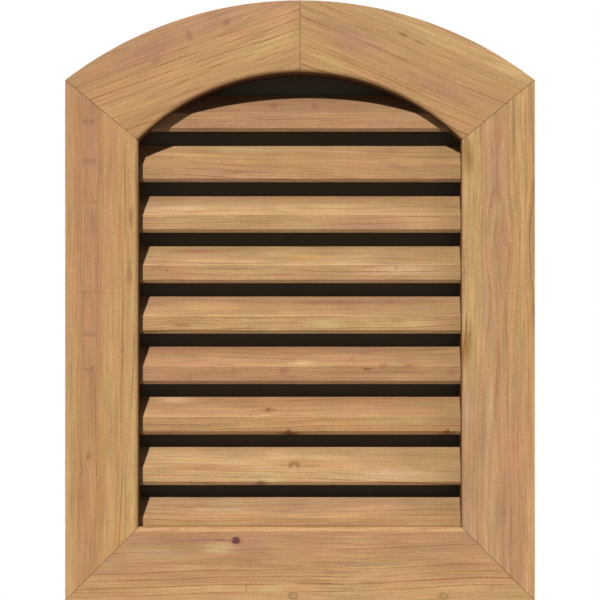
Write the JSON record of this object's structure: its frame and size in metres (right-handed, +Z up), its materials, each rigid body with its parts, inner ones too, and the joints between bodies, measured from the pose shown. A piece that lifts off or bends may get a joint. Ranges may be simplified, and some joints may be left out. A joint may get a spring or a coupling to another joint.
{
  "type": "arch-top wooden gable vent",
  "caption": "Arch-top cedar gable vent: a flat mitred trim frame on the wall, a shallow case behind it with fixed sloping louvers, and an insect screen over its back.",
  "frame": {"origin": "on the back face of the bottom rail, on the vent's centre line, 34 mm above the trim's bottom edge", "axes": "+Z up, +X to the right as seen from the front, +Y back into the wall; the front faces -Y"},
  "size_m": [0.5588, 0.0582, 0.7141],
  "materials": {
    "cedar_trim": "smooth, unfinished",
    "cedar_case": "planed, unfinished",
    "cedar_louver": "smooth, unfinished",
    "screen_mesh": "woven fibreglass insect mesh, charcoal"
  },
  "bodies": {
    "root": {"left_stile": "cedar_trim", "right_stile": "cedar_trim", "bottom_rail": "cedar_trim", "arch_left": "cedar_trim", "arch_right": "cedar_trim", "left_jamb": "cedar_case", "right_jamb": "cedar_case", "sill": "cedar_case", "head_left": "cedar_case", "head_right": "cedar_case", "louver_1": "cedar_louver", "louver_2": "cedar_louver", "louver_3": "cedar_louver", "louver_4": "cedar_louver", "louver_5": "cedar_louver", "louver_6": "cedar_louver", "louver_7": "cedar_louver", "louver_8": "cedar_louver", "louver_9": "cedar_louver", "insect_screen": "screen_mesh"}
  },
  "joints": []
}
